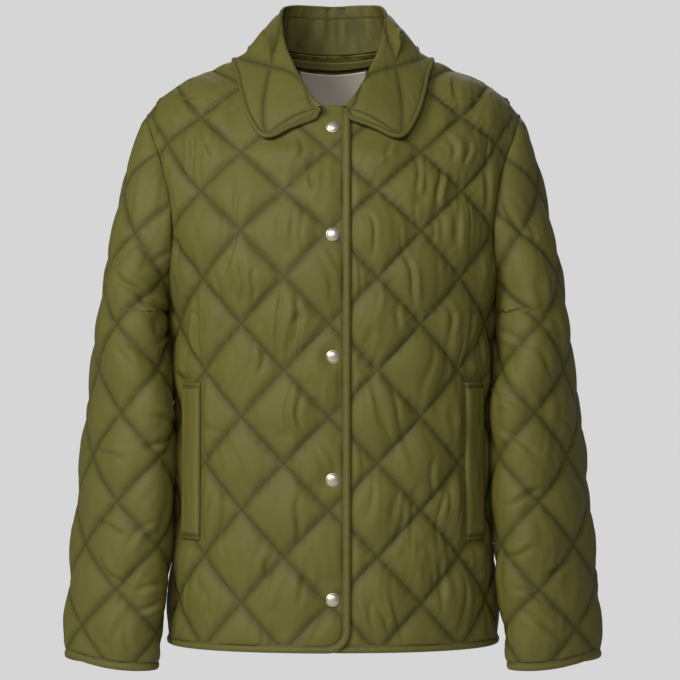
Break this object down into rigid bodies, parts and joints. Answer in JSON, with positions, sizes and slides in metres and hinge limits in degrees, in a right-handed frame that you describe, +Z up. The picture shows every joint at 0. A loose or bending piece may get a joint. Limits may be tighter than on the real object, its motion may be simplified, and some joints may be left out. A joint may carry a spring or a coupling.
{
  "type": "quilted jacket",
  "caption": "Hip-length jacket in diamond-quilted nylon with a turned-down round collar, press-stud front, welt pockets and bound edges, filled out as if worn.",
  "frame": {"origin": "on the centre line, level with the neck points, where the wearer's shoulders carry the jacket", "axes": "+Z up along the body, -Y towards the front opening, -X towards the wearer's right"},
  "size_m": [0.6043, 0.2773, 0.7441],
  "materials": {
    "quilted_cloth": "soft sheen",
    "binding_cloth": "soft sheen",
    "tape_cloth": "matte",
    "label_cloth": "satin",
    "snap_metal": "satin"
  },
  "bodies": {
    "root": {"front_right": "quilted_cloth", "front_left": "quilted_cloth", "back": "quilted_cloth", "sleeve_right": "quilted_cloth", "sleeve_left": "quilted_cloth", "collar": "quilted_cloth", "front_right_binding": "binding_cloth", "front_left_binding": "binding_cloth", "back_hem_binding": "binding_cloth", "cuff_binding_right": "binding_cloth", "cuff_binding_left": "binding_cloth", "collar_binding": "binding_cloth", "pocket_welt_right": "binding_cloth", "pocket_welt_left": "binding_cloth", "neck_tape": "tape_cloth", "label": "label_cloth", "snap_1": "snap_metal", "snap_2": "snap_metal", "snap_3": "snap_metal", "snap_4": "snap_metal", "snap_5": "snap_metal"}
  },
  "joints": []
}
